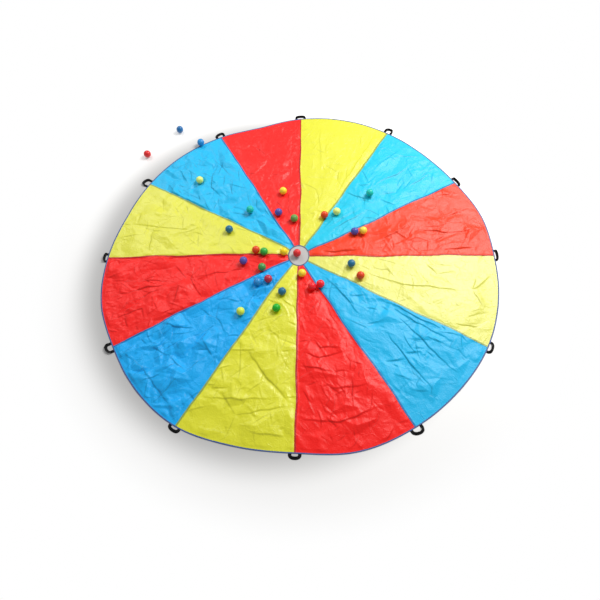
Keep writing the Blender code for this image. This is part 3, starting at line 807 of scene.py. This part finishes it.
def gore_places(radius, clockwise):
    """For each gore that holds any of the points: its number, which they are, and their places."""
    number = np.floor(clockwise / GORE_ANGLE).astype(int) % GORE_COUNT
    for gore in np.unique(number):
        here = number == gore
        middle = (np.floor(clockwise[here] / GORE_ANGLE) + 0.5) * GORE_ANGLE
        turn = clockwise[here] - middle
        yield gore, here, radius[here] * np.sin(turn), radius[here] * np.cos(turn)


def cloth_relief(radius, clockwise):
    """Height of the cloth over the floor, without a seam's lap, and the shade painted along its
    creases, from 0 to 1.
    """
    swell = np.zeros_like(radius)
    rough = np.zeros_like(radius)
    crease_shade = np.zeros_like(radius)
    from_seam = seam_distance(radius, clockwise)
    for gore, here, across, along in gore_places(radius, clockwise):
        gore_swell, gore_rough = gore_relief(gore, across, along)
        fold_height, crease_shade[here] = folds(gore, across, along)
        risen = ease(0.5 * from_seam[here] / SEAM_FLAT_WIDTH + 0.5) * 2 - 1
        swell[here] = SEAM_LIFT + (gore_swell - SEAM_LIFT) * risen
        fold_height += patches(gore, across, along)
        rough[here] = (gore_rough + fold_height) * ease(from_seam[here] / SEAM_QUIET_WIDTH)
    flat_x = radius * np.sin(clockwise)
    flat_y = radius * np.cos(clockwise)
    broad = noise(flat_x, flat_y, BROAD_PUFF_SIZE, SEEDS["broad_puff"])
    swell += PUFF_HEIGHT * BROAD_PUFF_SHARE * (0.5 + broad)
    from_rim = RIM_RADIUS - BINDING_WIDTH - radius
    from_vent = radius - VENT_RADIUS - BINDING_WIDTH
    rough += puckers(radius, clockwise) + rim_puckers(from_rim, clockwise)
    height = swell * ease(from_rim / RIM_FLAT_WIDTH) * ease(from_vent / VENT_FLAT_WIDTH)
    height += rough * ease(from_rim / RIM_QUIET_WIDTH) * ease(from_vent / VENT_QUIET_WIDTH)
    bent = np.sqrt(height * height + FLOOR_SOFTNESS ** 2) - FLOOR_SOFTNESS
    height = ((1 - FLOOR_REBOUND) * height + (1 + FLOOR_REBOUND) * bent) / 2
    edge = rim_wave(clockwise) * ease(1 - from_rim / RIM_WAVE_REACH)
    return CLOTH_BASE + height + edge, crease_shade


def lap_bump(radius, clockwise):
    """Room for the second layer of cloth near a seam."""
    distance = seam_distance(radius, clockwise)
    return SEAM_RISE * (1 - ease((distance - SEAM_LAP / 2) / (LAP_BUMP_REACH - SEAM_LAP / 2)))


def ball_nodes():
    """Names of the balls' nodes, in a fixed order."""
    return sorted(name for name in frame["nodes"] if name.startswith("ball_"))


def press_under_balls(x, y, z, room):
    """Lets the cloth dip and rise to meet each ball that rests on it."""
    for name in ball_nodes():
        low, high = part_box(name)
        if low.z < CLOTH_BASE:
            continue
        distance = np.hypot(x - (low.x + high.x) / 2, y - (low.y + high.y) / 2)
        rest = low.z - BALL_CLEARANCE - room
        near = ease(1 - distance / BALL_PRESS_REACH)
        z = z * (1 - near) + rest * near
        inside = np.minimum(distance, BALL_RADIUS)
        under = rest + BALL_RADIUS - np.sqrt(BALL_RADIUS ** 2 - inside ** 2)
        z = np.where(distance < BALL_RADIUS, np.minimum(z, under), z)
    return np.maximum(z, CLOTH_BASE / 2)


def surface(radius, clockwise, lift):
    """Points of the laid cloth, raised by lift for the layers under them, and the shade painted along
    their creases.
    """
    radius = np.asarray(radius, float)
    clockwise = np.asarray(clockwise, float)
    x, y = lay(radius, clockwise)
    height, crease_shade = cloth_relief(radius, clockwise)
    z = press_under_balls(x, y, height, lap_bump(radius, clockwise))
    return np.stack([x, y, z + lift], axis=-1), crease_shade


def add_object(name, data):
    """An object in the scene."""
    thing = bpy.data.objects.new(name, data)
    bpy.context.scene.collection.objects.link(thing)
    return thing


def make_piece(name, points, faces, material, smooth=True):
    """A piece of mesh with its material."""
    mesh = bpy.data.meshes.new(name)
    mesh.from_pydata([tuple(point) for point in points], [], faces)
    mesh.materials.append(material)
    if smooth:
        mesh.shade_smooth()
    mesh.update()
    piece = add_object(name, mesh)
    return piece


def add_flat_cut(mesh, flat):
    """UV map of each point's place in the flat cut, which the weave follows."""
    corners = np.zeros(len(mesh.loops), int)
    mesh.loops.foreach_get("vertex_index", corners)
    mesh.uv_layers.new(name="flat_cut").data.foreach_set("uv", np.array(flat)[corners].ravel())


def row_columns(radius):
    """How many columns a gore has at a radius: they double as it widens."""
    columns = WIDEST_COLUMNS
    doubled = DOUBLING_SHARE * RIM_RADIUS
    while columns > NARROWEST_COLUMNS and radius < doubled * columns / WIDEST_COLUMNS:
        columns //= 2
    return columns


def gore_faces(starts, counts):
    """Faces between a gore's rows, with three triangles where the columns double."""
    faces = []
    for row in range(len(starts) - 1):
        here, there = starts[row], starts[row + 1]
        inner, outer = counts[row], counts[row + 1]
        faces.append((here, here + 1, there + 1, there))
        faces.append((here + 1, here + 2, there + 2, there + 1))
        near, far = here + 2, there + 2
        if inner == outer:
            for column in range(inner):
                faces.append((near + column, near + column + 1, far + column + 1, far + column))
        else:
            for column in range(inner):
                first, second = near + column, near + column + 1
                left, middle, right = far + 2 * column, far + 2 * column + 1, far + 2 * column + 2
                faces.append((first, middle, left))
                faces.append((first, second, middle))
                faces.append((second, right, middle))
        near, far = here + 2 + inner, there + 2 + outer
        for step in range(4):
            faces.append((near + step, near + step + 1, far + step + 1, far + step))
    return faces


def tube_faces(rings, around, closed=False):
    """Faces between closed rings of points, and from the last ring to the first if closed."""
    faces = []
    for ring in range(rings if closed else rings - 1):
        here = ring * around
        there = (ring + 1) % rings * around
        for corner in range(around):
            beside = (corner + 1) % around
            faces.append((here + corner, here + beside, there + beside, there + corner))
    return faces


def gore_colour(number):
    """Name of a gore's colour."""
    return GORE_COLOURS[number % len(GORE_COLOURS)]


def make_gore(number, material):
    """One wedge of cloth: its last edge climbs over the next gore's first edge."""
    colour = gore_colour(number)
    rim = RIM_RADIUS - RIM_EDGE_INSET
    vent = VENT_RADIUS + VENT_EDGE_INSET
    rows = np.linspace(vent, rim, round((rim - vent) / ROW_STEP) + 1)
    half = SEAM_LAP / 2
    radii, offsets, lifts, laps, starts, counts = [], [], [], [], [], []
    for radius in rows:
        width = radius * GORE_ANGLE
        columns = row_columns(radius)
        starts.append(len(radii))
        counts.append(columns)
        climb = width - half - LAP_CLIMB_START
        inner = np.linspace(half / 2, climb, columns + 1)
        across = [-half, 0.0, *inner]
        across += [width - half - LAP_CLIMB_START / 2, width - half - LAP_CLIMB_END]
        across += [width, width + half]
        offsets += across
        radii += [radius] * len(across)
        flat = len(across) - 4
        lifts += [0.0] * flat + [SEAM_RISE * LAP_CLIMB_SHARE] + [SEAM_RISE] * 3
        laps += [0.0] * flat + [0.5] + [1.0] * 3
    radii = np.array(radii)
    offsets = np.array(offsets)
    clockwise = number * GORE_ANGLE + offsets / radii
    points, creases = surface(radii, clockwise, np.array(lifts))
    name = f"{number + 1:02d}"
    faces = gore_faces(starts, counts)
    gore = make_piece(f"cloth_{name}", points, faces, material)
    mesh = gore.data
    # The lap, and the shade painted along creases, as attributes of the points
    for mark, values in (("lap", laps), ("crease", creases)):
        attribute = mesh.attributes.new(mark, "FLOAT", "POINT")
        attribute.data.foreach_set("value", np.array(values, np.float32))
    add_flat_cut(mesh, np.stack([offsets - radii * GORE_ANGLE / 2, radii], axis=-1))
    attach(gore, "canopy")
    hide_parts(f"gore_{name}_{colour}")
    return gore


def make_binding(name, node, edge_radius, inward, stations, material):
    """Tape folded round an edge: inward is 1 on the rim and -1 on the vent."""
    clockwise = np.arange(stations) * 2 * math.pi / stations
    rings = []
    for share, height, lapped in BINDING_PROFILE:
        radius = np.full(stations, edge_radius - inward * BINDING_WIDTH * share)
        ring = surface(radius, clockwise, height)[0]
        ring[:, 2] += lap_bump(radius, clockwise) * lapped
        rings.append(ring)
    faces = tube_faces(len(rings), stations, closed=True)
    if inward == -1:
        faces = [face[::-1] for face in faces]
    tape = make_piece(name, np.concatenate(rings), faces, material)
    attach(tape, "canopy")
    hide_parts(node)
    return tape


def make_stitches(name, points, material):
    """A row of short raised stitches along a line of points."""
    steps = np.linalg.norm(np.diff(points, axis=0), axis=1)
    travelled = np.concatenate([[0.0], np.cumsum(steps)])
    count = int(travelled[-1] / STITCH_PITCH)
    middles = (np.arange(count) + 0.5) * travelled[-1] / count
    corners = []
    faces = []
    for middle in middles:
        places = (middle - STITCH_LENGTH / 2, middle, middle + STITCH_LENGTH / 2)
        start, centre, end = (
            np.array([np.interp(place, travelled, axis) for axis in points.T]) for place in places
        )
        heading = end - start
        side = np.array([-heading[1], heading[0], 0.0])
        side *= STITCH_WIDTH / 2 / np.linalg.norm(side)
        first = len(corners)
        corners += [start, centre - side, end, centre + side, centre + np.array([0, 0, STITCH_HEIGHT])]
        faces += [(first + here, first + (here + 1) % 4, first + 4) for here in range(4)]
        faces.append((first + 3, first + 2, first + 1, first))
    row = make_piece(name, corners, faces, material, smooth=False)
    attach(row, "canopy")
    return row


def make_seam_stitches(number, material):
    """Two rows of stitches through the lap at a gore's last seam."""
    radii = np.arange(VENT_RADIUS + BINDING_WIDTH, RIM_RADIUS - BINDING_WIDTH, ROW_STEP)
    rows = []
    for side in (-1, 1):
        offset = side * SEAM_LAP * SEAM_STITCH_SHARE
        clockwise = (number + 1) * GORE_ANGLE + offset / radii
        points = surface(radii, clockwise, SEAM_RISE)[0]
        name = f"seam_stitches_{number + 1:02d}_{'first' if side < 0 else 'second'}"
        rows.append(make_stitches(name, points, material))
    return rows


def make_binding_stitches(name, edge_radius, inward, stations, material):
    """A row of stitches along a binding's inner edge."""
    clockwise = np.arange(stations + 1) * 2 * math.pi / stations
    radius = np.full(stations + 1, edge_radius - inward * BINDING_WIDTH * BINDING_STITCH_SHARE)
    points = surface(radius, clockwise, BINDING_STITCH_LIFT)[0]
    points[:, 2] += lap_bump(radius, clockwise)
    return make_stitches(name, points, material)


def handle_path(spread, reach, slant, share):
    """A point of the loop's centre line past its flat tabs, along the rim and out from it."""
    swing = math.pi * share
    along = -spread * math.cos(swing) + slant * math.sin(swing) ** 2
    outward = HANDLE_TAB + reach * max(math.sin(swing), 0.0) ** HANDLE_CORNER_POWER
    return Vector((along, outward))


def handle_stations(shape):
    """Centre, heading and share of each station of a handle, from tuck to tuck."""
    stations = []
    tab = (-HANDLE_TUCK, -HANDLE_TUCK / 2, HANDLE_GAP, HANDLE_TAB / 2)
    for outward in tab:
        stations.append((Vector((-shape[0], outward)), Vector((0, 1)), 0.0))
    for step in range(HANDLE_STEPS + 1):
        share = step / HANDLE_STEPS
        before = handle_path(*shape, max(share - 0.5 / HANDLE_STEPS, 0.0))
        after = handle_path(*shape, min(share + 0.5 / HANDLE_STEPS, 1.0))
        heading = after - before
        if step in (0, HANDLE_STEPS):
            heading.x = 0
        stations.append((handle_path(*shape, share), heading.normalized(), share))
    for outward in reversed(tab):
        stations.append((Vector((shape[0], outward)), Vector((0, -1)), 1.0))
    return stations


def webbing_outline():
    """Section of the webbing: its place across and its crown, with ribs on both faces."""
    outline = []
    for index in range(WEBBING_RIBS + 1):
        place = -1 + 2 * index / WEBBING_RIBS
        crown = WEBBING_VALLEY_SHARE + WEBBING_RIB_SHARE * (index % 2)
        outline.append((place, crown - WEBBING_EDGE_SHARE * abs(place) ** WEBBING_EDGE_POWER))
    return outline + [(place, -crown) for place, crown in reversed(outline)]


def make_handle(number, joint, material):
    """A webbing loop whose tabs are tucked in the binding and whose bow tilts on its edge."""
    spread_share, reach_share, slant_share, tilt_share = HANDLE_SHARES[number]
    shape = (spread_share * HANDLE_SPREAD, reach_share * HANDLE_REACH, slant_share * HANDLE_SPREAD)
    half_width = WEBBING_WIDTH / 2
    half_thick = WEBBING_THICKNESS / 2
    outline = webbing_outline()
    seat = Vector(joint["pos_m"])
    along = Vector(joint["axis"]).normalized()
    outward = Vector((-along.y, along.x, 0))
    hinge_height = FIT_GAP + WEBBING_THICKNESS
    points = []
    flat = []
    travelled = 0.0
    stations = handle_stations(shape)
    for index, (centre, heading, share) in enumerate(stations):
        if index:
            travelled += (centre - stations[index - 1][0]).length
        risen = max(math.sin(math.pi * share), 0.0)
        tilt = float(ease(risen / HANDLE_TILT_SHARE)) * tilt_share * math.pi / 2
        lowest = abs(math.sin(tilt)) * half_width + math.cos(tilt) * half_thick + FIT_GAP
        across = Vector((-heading.y * math.cos(tilt), heading.x * math.cos(tilt), math.sin(tilt)))
        upright = Vector((heading.y * math.sin(tilt), -heading.x * math.sin(tilt), math.cos(tilt)))
        middle = Vector((centre.x, centre.y, lowest - hinge_height))
        for place, crown in outline:
            local = middle + across * place * half_width + upright * crown * half_thick
            points.append(seat + along * local.x + outward * local.y + Vector((0, 0, local.z)))
            flat.append((place * half_width, travelled))
    around = len(outline)
    faces = tube_faces(len(stations), around)
    faces.append(tuple(reversed(range(around))))
    faces.append(tuple(len(points) - around + corner for corner in range(around)))
    name = f"handle_{number + 1:02d}"
    loop = make_piece(f"webbing_{number + 1:02d}", points, faces, material)
    loop.data.set_sharp_from_angle(angle=math.radians(WEBBING_SHARP_ANGLE))
    add_flat_cut(loop.data, flat)
    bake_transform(loop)
    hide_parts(name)
    return loop


def make_ball(node, material, random):
    """A blown plastic ball with its mould's parting line and a few soft dents."""
    low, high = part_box(node)
    centre = (low + high) / 2
    axis_turn = random.uniform(0, math.pi)
    tilt = random.uniform(*BALL_TILTS)
    turn = Matrix.Rotation(axis_turn, 3, "Z") @ Matrix.Rotation(tilt, 3, "X")
    dents = []
    for _ in range(BALL_DENTS):
        direction = Vector(random.normal(size=3)).normalized()
        dents.append((direction, random.uniform(*BALL_DENT_DEPTHS)))
    ways = []
    for ring in range(1, BALL_RINGS):
        polar = math.pi * ring / BALL_RINGS
        wide = math.sin(polar)
        for segment in range(BALL_SEGMENTS):
            angle = 2 * math.pi * segment / BALL_SEGMENTS
            ways.append(Vector((wide * math.cos(angle), wide * math.sin(angle), math.cos(polar))))
    ways += [Vector((0, 0, 1)), Vector((0, 0, -1))]
    points = []
    for way in ways:
        radius = BALL_RADIUS - BALL_INSET
        radius += BALL_SEAM_HEIGHT * math.exp(-(way.z * BALL_RADIUS / BALL_SEAM_WIDTH) ** 2)
        for direction, depth in dents:
            radius -= depth * math.exp(-((1 - way.dot(direction)) / BALL_DENT_SHARE) ** 2)
        points.append(centre + turn @ way * radius)
    faces = [face[:1] + face[:0:-1] for face in tube_faces(BALL_RINGS - 1, BALL_SEGMENTS)]
    top = len(points) - 2
    last = (BALL_RINGS - 2) * BALL_SEGMENTS
    for segment in range(BALL_SEGMENTS):
        beside = (segment + 1) % BALL_SEGMENTS
        faces.append((top, segment, beside))
        faces.append((top + 1, last + beside, last + segment))
    ball = make_piece(node.replace("ball_", "play_ball_"), points, faces, material)
    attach(ball, node)
    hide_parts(node)
    return ball


def new_material(name):
    """A material, its node tree and its shader."""
    material = bpy.data.materials.new(name)
    material.use_nodes = True
    tree = material.node_tree
    return material, tree, tree.nodes["Principled BSDF"]


def feed(tree, socket, value):
    """Sets a node's input to a number, vector or colour, or links an output to it."""
    if isinstance(value, bpy.types.NodeSocket):
        tree.links.new(value, socket)
    elif socket.type == "RGBA":
        socket.default_value = (*value, 1.0)
    else:
        socket.default_value = value


def feed_named(tree, node, values):
    """Sets or links a node's inputs by their names."""
    for name, value in values.items():
        feed(tree, node.inputs[name.replace("_", " ")], value)


def add_node(tree, kind, *inputs, settings=None, **values):
    """A node with its settings, and its inputs in order or by their names."""
    node = tree.nodes.new(kind)
    for key, value in (settings or {}).items():
        setattr(node, key, value)
    for socket, value in zip(node.inputs, inputs):
        feed(tree, socket, value)
    feed_named(tree, node, values)
    return node


def add_math(tree, operation, *inputs, kind="ShaderNodeMath"):
    """Result of an operation on numbers or, with the vector kind, on vectors."""
    node = add_node(tree, kind, *inputs, settings={"operation": operation})
    return node.outputs["Value" if operation == "DISTANCE" else 0]


def object_place(tree):
    """Place of a point on the object, in metres."""
    return tree.nodes.new("ShaderNodeTexCoord").outputs["Object"]


def noise_texture(tree, place, values):
    """Grey of a noise texture."""
    return add_node(tree, "ShaderNodeTexNoise", Vector=place, **values).outputs["Fac"]


def add_ramp(tree, value, low, high, most):
    """Maps a value's range from low to high onto 0 to most."""
    settings = {"interpolation_type": "SMOOTHSTEP"}
    ramp = add_node(tree, "ShaderNodeMapRange", value, low, high, 0.0, most, settings=settings)
    return ramp.outputs["Result"]


def add_bump(tree, height, values, **normal):
    """Normal that a height bends, on top of another normal if one is given."""
    return add_node(tree, "ShaderNodeBump", Height=height, **values, **normal).outputs["Normal"]


def colour_mix(tree, first, second, factor):
    """Mix of two colours by a factor."""
    mix = add_node(tree, "ShaderNodeMix", settings={"data_type": "RGBA"})
    for place, value in ((0, factor), (6, first), (7, second)):
        feed(tree, mix.inputs[place], value)
    return mix.outputs[2]


def scaled(colour, share):
    """A colour made lighter or darker."""
    return tuple(value * share for value in colour)


def crease_web(tree, place):
    """Lines of an irregular web, 1 on a line and 0 off it, that come and go."""
    vector = "ShaderNodeVectorMath"
    warp = add_node(tree, "ShaderNodeTexNoise", Vector=place, **WEB_WARP).outputs["Color"]
    warp_reach = (WEB_WARP_SHARE / WEB_SCALE,) * 3
    moved = add_math(tree, "MULTIPLY_ADD", warp, warp_reach, place, kind=vector)
    shifted = add_math(tree, "ADD", moved, (WEB_SHIFT, WEB_SHIFT, 0), kind=vector)
    settings = {"voronoi_dimensions": "2D", "feature": "DISTANCE_TO_EDGE"}
    web = add_node(tree, "ShaderNodeTexVoronoi", settings=settings, Vector=shifted, Scale=WEB_SCALE)
    line = add_ramp(tree, web.outputs["Distance"], WEB_LINE_WIDTH * WEB_SCALE, 0.0, 1.0)
    gaps = add_ramp(tree, noise_texture(tree, shifted, WEB_GAPS), *WEB_GAP_RANGE, 1.0)
    return add_math(tree, "MULTIPLY", line, gaps)


def weave_bump(tree, threads, values, **normal):
    """Bump of warp and weft threads, so many to the metre, in the flat cut's directions."""
    flat = add_node(tree, "ShaderNodeUVMap", settings={"uv_map": "flat_cut"}).outputs["UV"]
    heights = []
    for direction in ("X", "Y"):
        settings = {"wave_type": "BANDS", "bands_direction": direction}
        wave = add_node(tree, "ShaderNodeTexWave", settings=settings, Vector=flat)
        feed_named(tree, wave, {"Scale": threads / WAVE_THREADS, "Distortion": WEAVE_DISTORTION})
        heights.append(wave.outputs["Fac"])
    return add_bump(tree, add_math(tree, "ADD", *heights), values, **normal)


def cloth_material(name, colour, gore=None):
    """Thin shiny taffeta: uneven dye, darker laps, shade painted along creases, woven grain and fine
    crinkles.
    """
    # A gore's number makes that gore's copy of the cloth, with light and shade painted into its colour
    material, tree, shader = new_material(f"taffeta_{name}" + (f"_{gore:02d}" if gore else ""))
    base = linear(colour)
    place = object_place(tree)
    light, dark = (scaled(base, share) for share in DYE_SHARES)
    tone = colour_mix(tree, light, dark, noise_texture(tree, place, DYE_CLOUDS))
    specks = add_ramp(tree, noise_texture(tree, place, DYE_SPECKS), *SPECK_RANGE, SPECK_DARKNESS)
    tone = colour_mix(tree, tone, scaled(base, SPECK_SHARE), specks)
    lap, crease = (
        add_node(tree, "ShaderNodeAttribute", settings={"attribute_name": mark}).outputs["Fac"]
        for mark in ("lap", "crease")
    )
    lapped = add_math(tree, "MULTIPLY", lap, LAP_DARKNESS)
    tone = colour_mix(tree, tone, linear(LAP_COLOURS[name]), lapped)
    # Shade painted along the creases
    creased = add_ramp(tree, crease, *CREASE_SHADE_RANGE, CREASE_SHADE_DARKNESS[name])
    tone = colour_mix(tree, tone, scaled(base, CREASE_SHADE_SHARE), creased)
    normal = add_bump(tree, noise_texture(tree, place, CRINKLE_TEXTURE), CRINKLE_BUMP)
    normal = add_bump(tree, crease_web(tree, place), WEB_BUMP, Normal=normal)
    normal = weave_bump(tree, CLOTH_THREADS, CLOTH_WEAVE_BUMP, Normal=normal)
    feed_named(tree, shader, {
        "Base Color": tone, "Roughness": CLOTH_ROUGHNESS, "Specular IOR Level": CLOTH_SPECULAR[name],
        "Sheen Weight": CLOTH_SHEEN, "Sheen Roughness": CLOTH_SHEEN_ROUGHNESS, "Normal": normal,
    })
    return material


def tape_material(name, colour):
    """Folded woven tape with a fine cross rib."""
    material, tree, shader = new_material(name)
    place = object_place(tree)
    dark, light = (scaled(linear(colour), share) for share in TAPE_SHARES)
    tone = colour_mix(tree, dark, light, noise_texture(tree, place, TAPE_CLOUDS))
    normal = add_bump(tree, noise_texture(tree, place, TAPE_RIBS), TAPE_BUMP)
    feed_named(tree, shader, {
        "Base Color": tone, "Roughness": TAPE_ROUGHNESS, "Sheen Weight": TAPE_SHEEN, "Normal": normal,
    })
    return material


def webbing_material():
    """Black ribbed webbing with pale wear in patches."""
    material, tree, shader = new_material("webbing_black")
    base = linear(WEBBING_COLOUR)
    dust = noise_texture(tree, object_place(tree), WEBBING_DUST)
    worn = add_ramp(tree, dust, *WEBBING_DUST_RANGE, 1.0)
    feed_named(tree, shader, {
        "Base Color": colour_mix(tree, base, scaled(base, WEBBING_DUST_SHARE), worn),
        "Roughness": WEBBING_ROUGHNESS, "Specular IOR Level": WEBBING_SPECULAR,
        "Sheen Weight": WEBBING_SHEEN, "Normal": weave_bump(tree, WEBBING_THREADS, WEBBING_BUMP),
    })
    return material


def ball_material(hue):
    """Blown polyethylene: satin gloss, faint flow marks and scuffs."""
    material, tree, shader = new_material(f"ball_{hue}")
    place = object_place(tree)
    dark, light = (scaled(linear(BALL_COLOURS[hue]), share) for share in BALL_FLOW_SHARES)
    tone = colour_mix(tree, dark, light, noise_texture(tree, place, BALL_FLOW))
    scuffs = noise_texture(tree, place, BALL_SCUFFS)
    ranges = (*BALL_SCUFF_RANGE, *BALL_ROUGHNESS_RANGE)
    rough = add_node(tree, "ShaderNodeMapRange", scuffs, *ranges).outputs["Result"]
    normal = add_bump(tree, scuffs, BALL_BUMP)
    feed_named(tree, shader, {"Base Color": tone, "Roughness": rough, "Normal": normal})
    return material


def make_floor():
    """Pale floor with the soft shade that lies round the canopy's lower left."""
    mesh = bpy.data.meshes.new("floor")
    half = FLOOR_SIZE / 2
    corners = [(-half, -half, 0), (half, -half, 0), (half, half, 0), (-half, half, 0)]
    mesh.from_pydata(corners, [], [(0, 1, 2, 3)])
    floor = add_object("floor", mesh)
    material = bpy.data.materials.new("pale_floor")
    material.use_nodes = True
    tree = material.node_tree
    tree.nodes.clear()
    place = object_place(tree)

    def distance_from(point):
        return add_math(tree, "DISTANCE", place, point, kind="ShaderNodeVectorMath")

    nearest = add_math(tree, "MINIMUM", *(distance_from(middle) for middle in SHADE_MIDDLES))
    lit = add_ramp(tree, nearest, SHADE_INNER_RADIUS, SHADE_OUTER_RADIUS, 1.0)
    tone = colour_mix(tree, scaled(WHITE, SHADE_GREY), scaled(WHITE, FLOOR_TONE), lit)
    diffuse = add_node(tree, "ShaderNodeBsdfDiffuse", tone)
    glow = add_node(tree, "ShaderNodeEmission", WHITE)
    far = add_ramp(tree, distance_from((0, 0, 0)), FAR_START, FAR_END, 1.0)
    seen = tree.nodes.new("ShaderNodeLightPath").outputs["Is Camera Ray"]
    white = add_math(tree, "MULTIPLY", far, seen)
    blend = add_node(tree, "ShaderNodeMixShader", white, diffuse.outputs[0], glow.outputs[0])
    add_node(tree, "ShaderNodeOutputMaterial", blend.outputs[0])
    mesh.materials.append(material)


def stand(name, data, place, target=(0, 0, 0)):
    """A lamp or camera at a place, turned to its target."""
    thing = add_object(name, data)
    thing.location = place
    look = Vector(target) - Vector(place)
    thing.rotation_euler = look.to_track_quat("-Z", "Y").to_euler()
    return thing


def make_lamp(name, place, size, power, colour):
    """A round soft lamp that shines on the canopy's middle."""
    data = bpy.data.lights.new(name, "AREA")
    data.shape = "DISK"
    data.size = size
    data.energy = power
    data.color = colour
    stand(name, data, place)


def make_world():
    """Even soft light, and plain white where the camera looks past the floor."""
    world = bpy.data.worlds.new("soft_room")
    bpy.context.scene.world = world
    world.use_nodes = True
    tree = world.node_tree
    light = tree.nodes["Background"]
    feed_named(tree, light, {"Color": WHITE, "Strength": WORLD_STRENGTH})
    white = add_node(tree, "ShaderNodeBackground", WHITE)
    seen = tree.nodes.new("ShaderNodeLightPath").outputs["Is Camera Ray"]
    blend = add_node(tree, "ShaderNodeMixShader", seen, light.outputs[0], white.outputs[0])
    tree.links.new(blend.outputs[0], tree.nodes["World Output"].inputs["Surface"])


def make_camera():
    """Camera at the photograph's viewing angle."""
    data = bpy.data.cameras.new("camera")
    data.lens = CAMERA_LENS
    data.sensor_width = CAMERA_SENSOR
    bpy.context.scene.camera = stand("camera", data, CAMERA_PLACE, CAMERA_TARGET)


def main():
    """Makes the room and every visible piece."""
    bpy.context.scene.view_settings.view_transform = "Standard"
    make_camera()
    make_world()
    make_floor()
    make_lamp("key", KEY_PLACE, KEY_SIZE, KEY_POWER, KEY_COLOUR)
    make_lamp("fill", FILL_PLACE, FILL_SIZE, FILL_POWER, WHITE)
    cloths = {name: cloth_material(name, colour) for name, colour in CLOTH_COLOURS.items()}
    # Copies of the cloth with light and shade painted into their colour, for single gores
    lit_and_shaded_cloths = {
        number: cloth_material(gore_colour(number), colour, number + 1)
        for number, colour in LIT_AND_SHADED_CLOTH_COLOURS.items()
    }
    rim_tape = tape_material("rim_tape", TAPE_COLOUR)
    vent_tape = tape_material("vent_tape", VENT_TAPE_COLOUR)
    thread = tape_material("thread", THREAD_COLOUR)
    webbing = webbing_material()
    joints = {joint["name"]: joint for joint in frame["joints"]}
    for number in range(GORE_COUNT):
        gore = make_gore(number, lit_and_shaded_cloths.get(number, cloths[gore_colour(number)]))
        stitches = make_seam_stitches(number, thread)
        make_handle(number, joints[f"handle_{number + 1:02d}_lift"], webbing)
    make_binding("rim_tape", "rim_binding", RIM_RADIUS, 1, BINDING_STATIONS, rim_tape)
    make_binding("vent_tape", "vent_binding", VENT_RADIUS, -1, VENT_STATIONS, vent_tape)
    make_binding_stitches("rim_stitches", RIM_RADIUS, 1, BINDING_STATIONS, thread)
    make_binding_stitches("vent_stitches", VENT_RADIUS, -1, VENT_STATIONS, thread)
    random = np.random.default_rng(SEEDS["balls"])
    plastics = {hue: ball_material(hue) for hue in BALL_COLOURS}
    for node in ball_nodes():
        hue = BALL_HUES.get(node.replace("ball_", ""), node.split("_")[1])
        make_ball(node, plastics[hue], random)


main()
